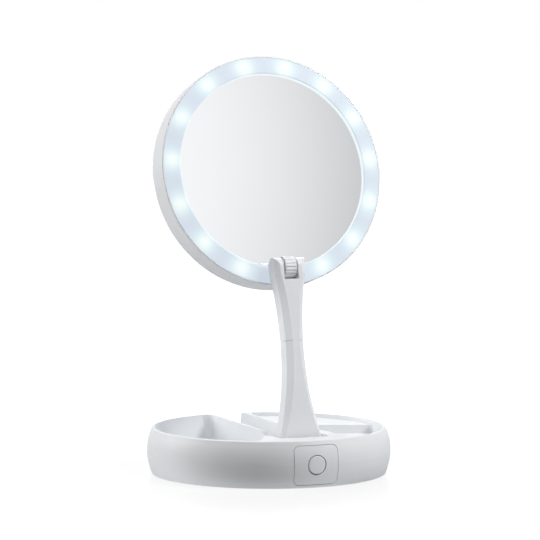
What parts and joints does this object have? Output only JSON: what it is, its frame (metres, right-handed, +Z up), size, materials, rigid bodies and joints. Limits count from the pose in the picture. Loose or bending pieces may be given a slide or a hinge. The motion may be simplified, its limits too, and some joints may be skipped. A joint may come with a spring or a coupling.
{
  "type": "lighted makeup mirror",
  "caption": "Folding table makeup mirror: round storage base with push button, waisted hinged arm and a round tilting head with a lit diffuser ring around the mirror.",
  "frame": {"origin": "centre of the base on the table, under the feet", "axes": "+Z up, -Y towards the user, +X to the user's right"},
  "size_m": [0.17, 0.1702, 0.2896],
  "materials": {
    "white_plastic": "satin white moulded plastic",
    "diffuser": "translucent opal plastic, lit from behind",
    "light_chip": "cool white light chip",
    "mirror_glass": "polished silvered glass",
    "foam": "closed-cell foam",
    "board": "white solder mask",
    "black_plastic": "matt",
    "rubber": "matt grey rubber",
    "lead": "soft insulation",
    "cell_jacket": "plain dark jacket",
    "nickel": "nickel plated",
    "steel": "plain steel",
    "nylon": "natural nylon"
  },
  "bodies": {
    "base": {"base_upper_shell": "white_plastic", "base_lower_shell": "white_plastic", "button_plate": "white_plastic", "switch_board": "board", "switch_body": "black_plastic", "board_screws": "steel", "battery_cells": "cell_jacket", "battery_springs": "nickel", "battery_contacts": "nickel", "rubber_feet": "rubber", "base_screws": "steel", "foot_hinge_pin": "steel", "foot_hinge_clip": "steel", "foot_hinge_washers": "nylon"},
    "button": {"power_button": "white_plastic", "switch_plunger": "black_plastic"},
    "door": {"battery_door": "white_plastic"},
    "arm": {"arm_front_shell": "white_plastic", "arm_rear_cover": "white_plastic", "arm_screws": "steel", "arm_lead": "lead", "head_hinge_pin": "steel", "head_hinge_washers": "nylon"},
    "head": {"hinge_knuckle": "white_plastic", "knuckle_screws": "steel", "head_shell": "white_plastic", "light_ring": "diffuser", "front_mirror": "mirror_glass", "mirror_pad": "foam", "mirror_carrier": "white_plastic", "light_board": "board", "light_chips": "light_chip", "rear_bezel": "white_plastic", "magnifying_mirror": "mirror_glass", "magnifier_pad": "foam"}
  },
  "joints": [
    {"name": "arm_fold", "type": "hinge", "parent": "base", "child": "arm", "pos_m": [0, -0.056, 0.022], "axis": [-1, 0, 0], "range_deg": [0, 58]},
    {"name": "head_tilt", "type": "hinge", "parent": "arm", "child": "head", "pos_m": [0, -0.03365, 0.14499], "axis": [1, 0, 0], "range_deg": [-6, 172]},
    {"name": "power_button", "type": "slide", "parent": "base", "child": "button", "axis": [0, 1, 0], "range_m": [0, 0.0012], "stiffness_N_per_m": 900, "springref_m": -0.0005},
    {"name": "battery_door", "type": "slide", "parent": "base", "child": "door", "axis": [0, 0, -1], "range_m": [0, 0.012]}
  ]
}
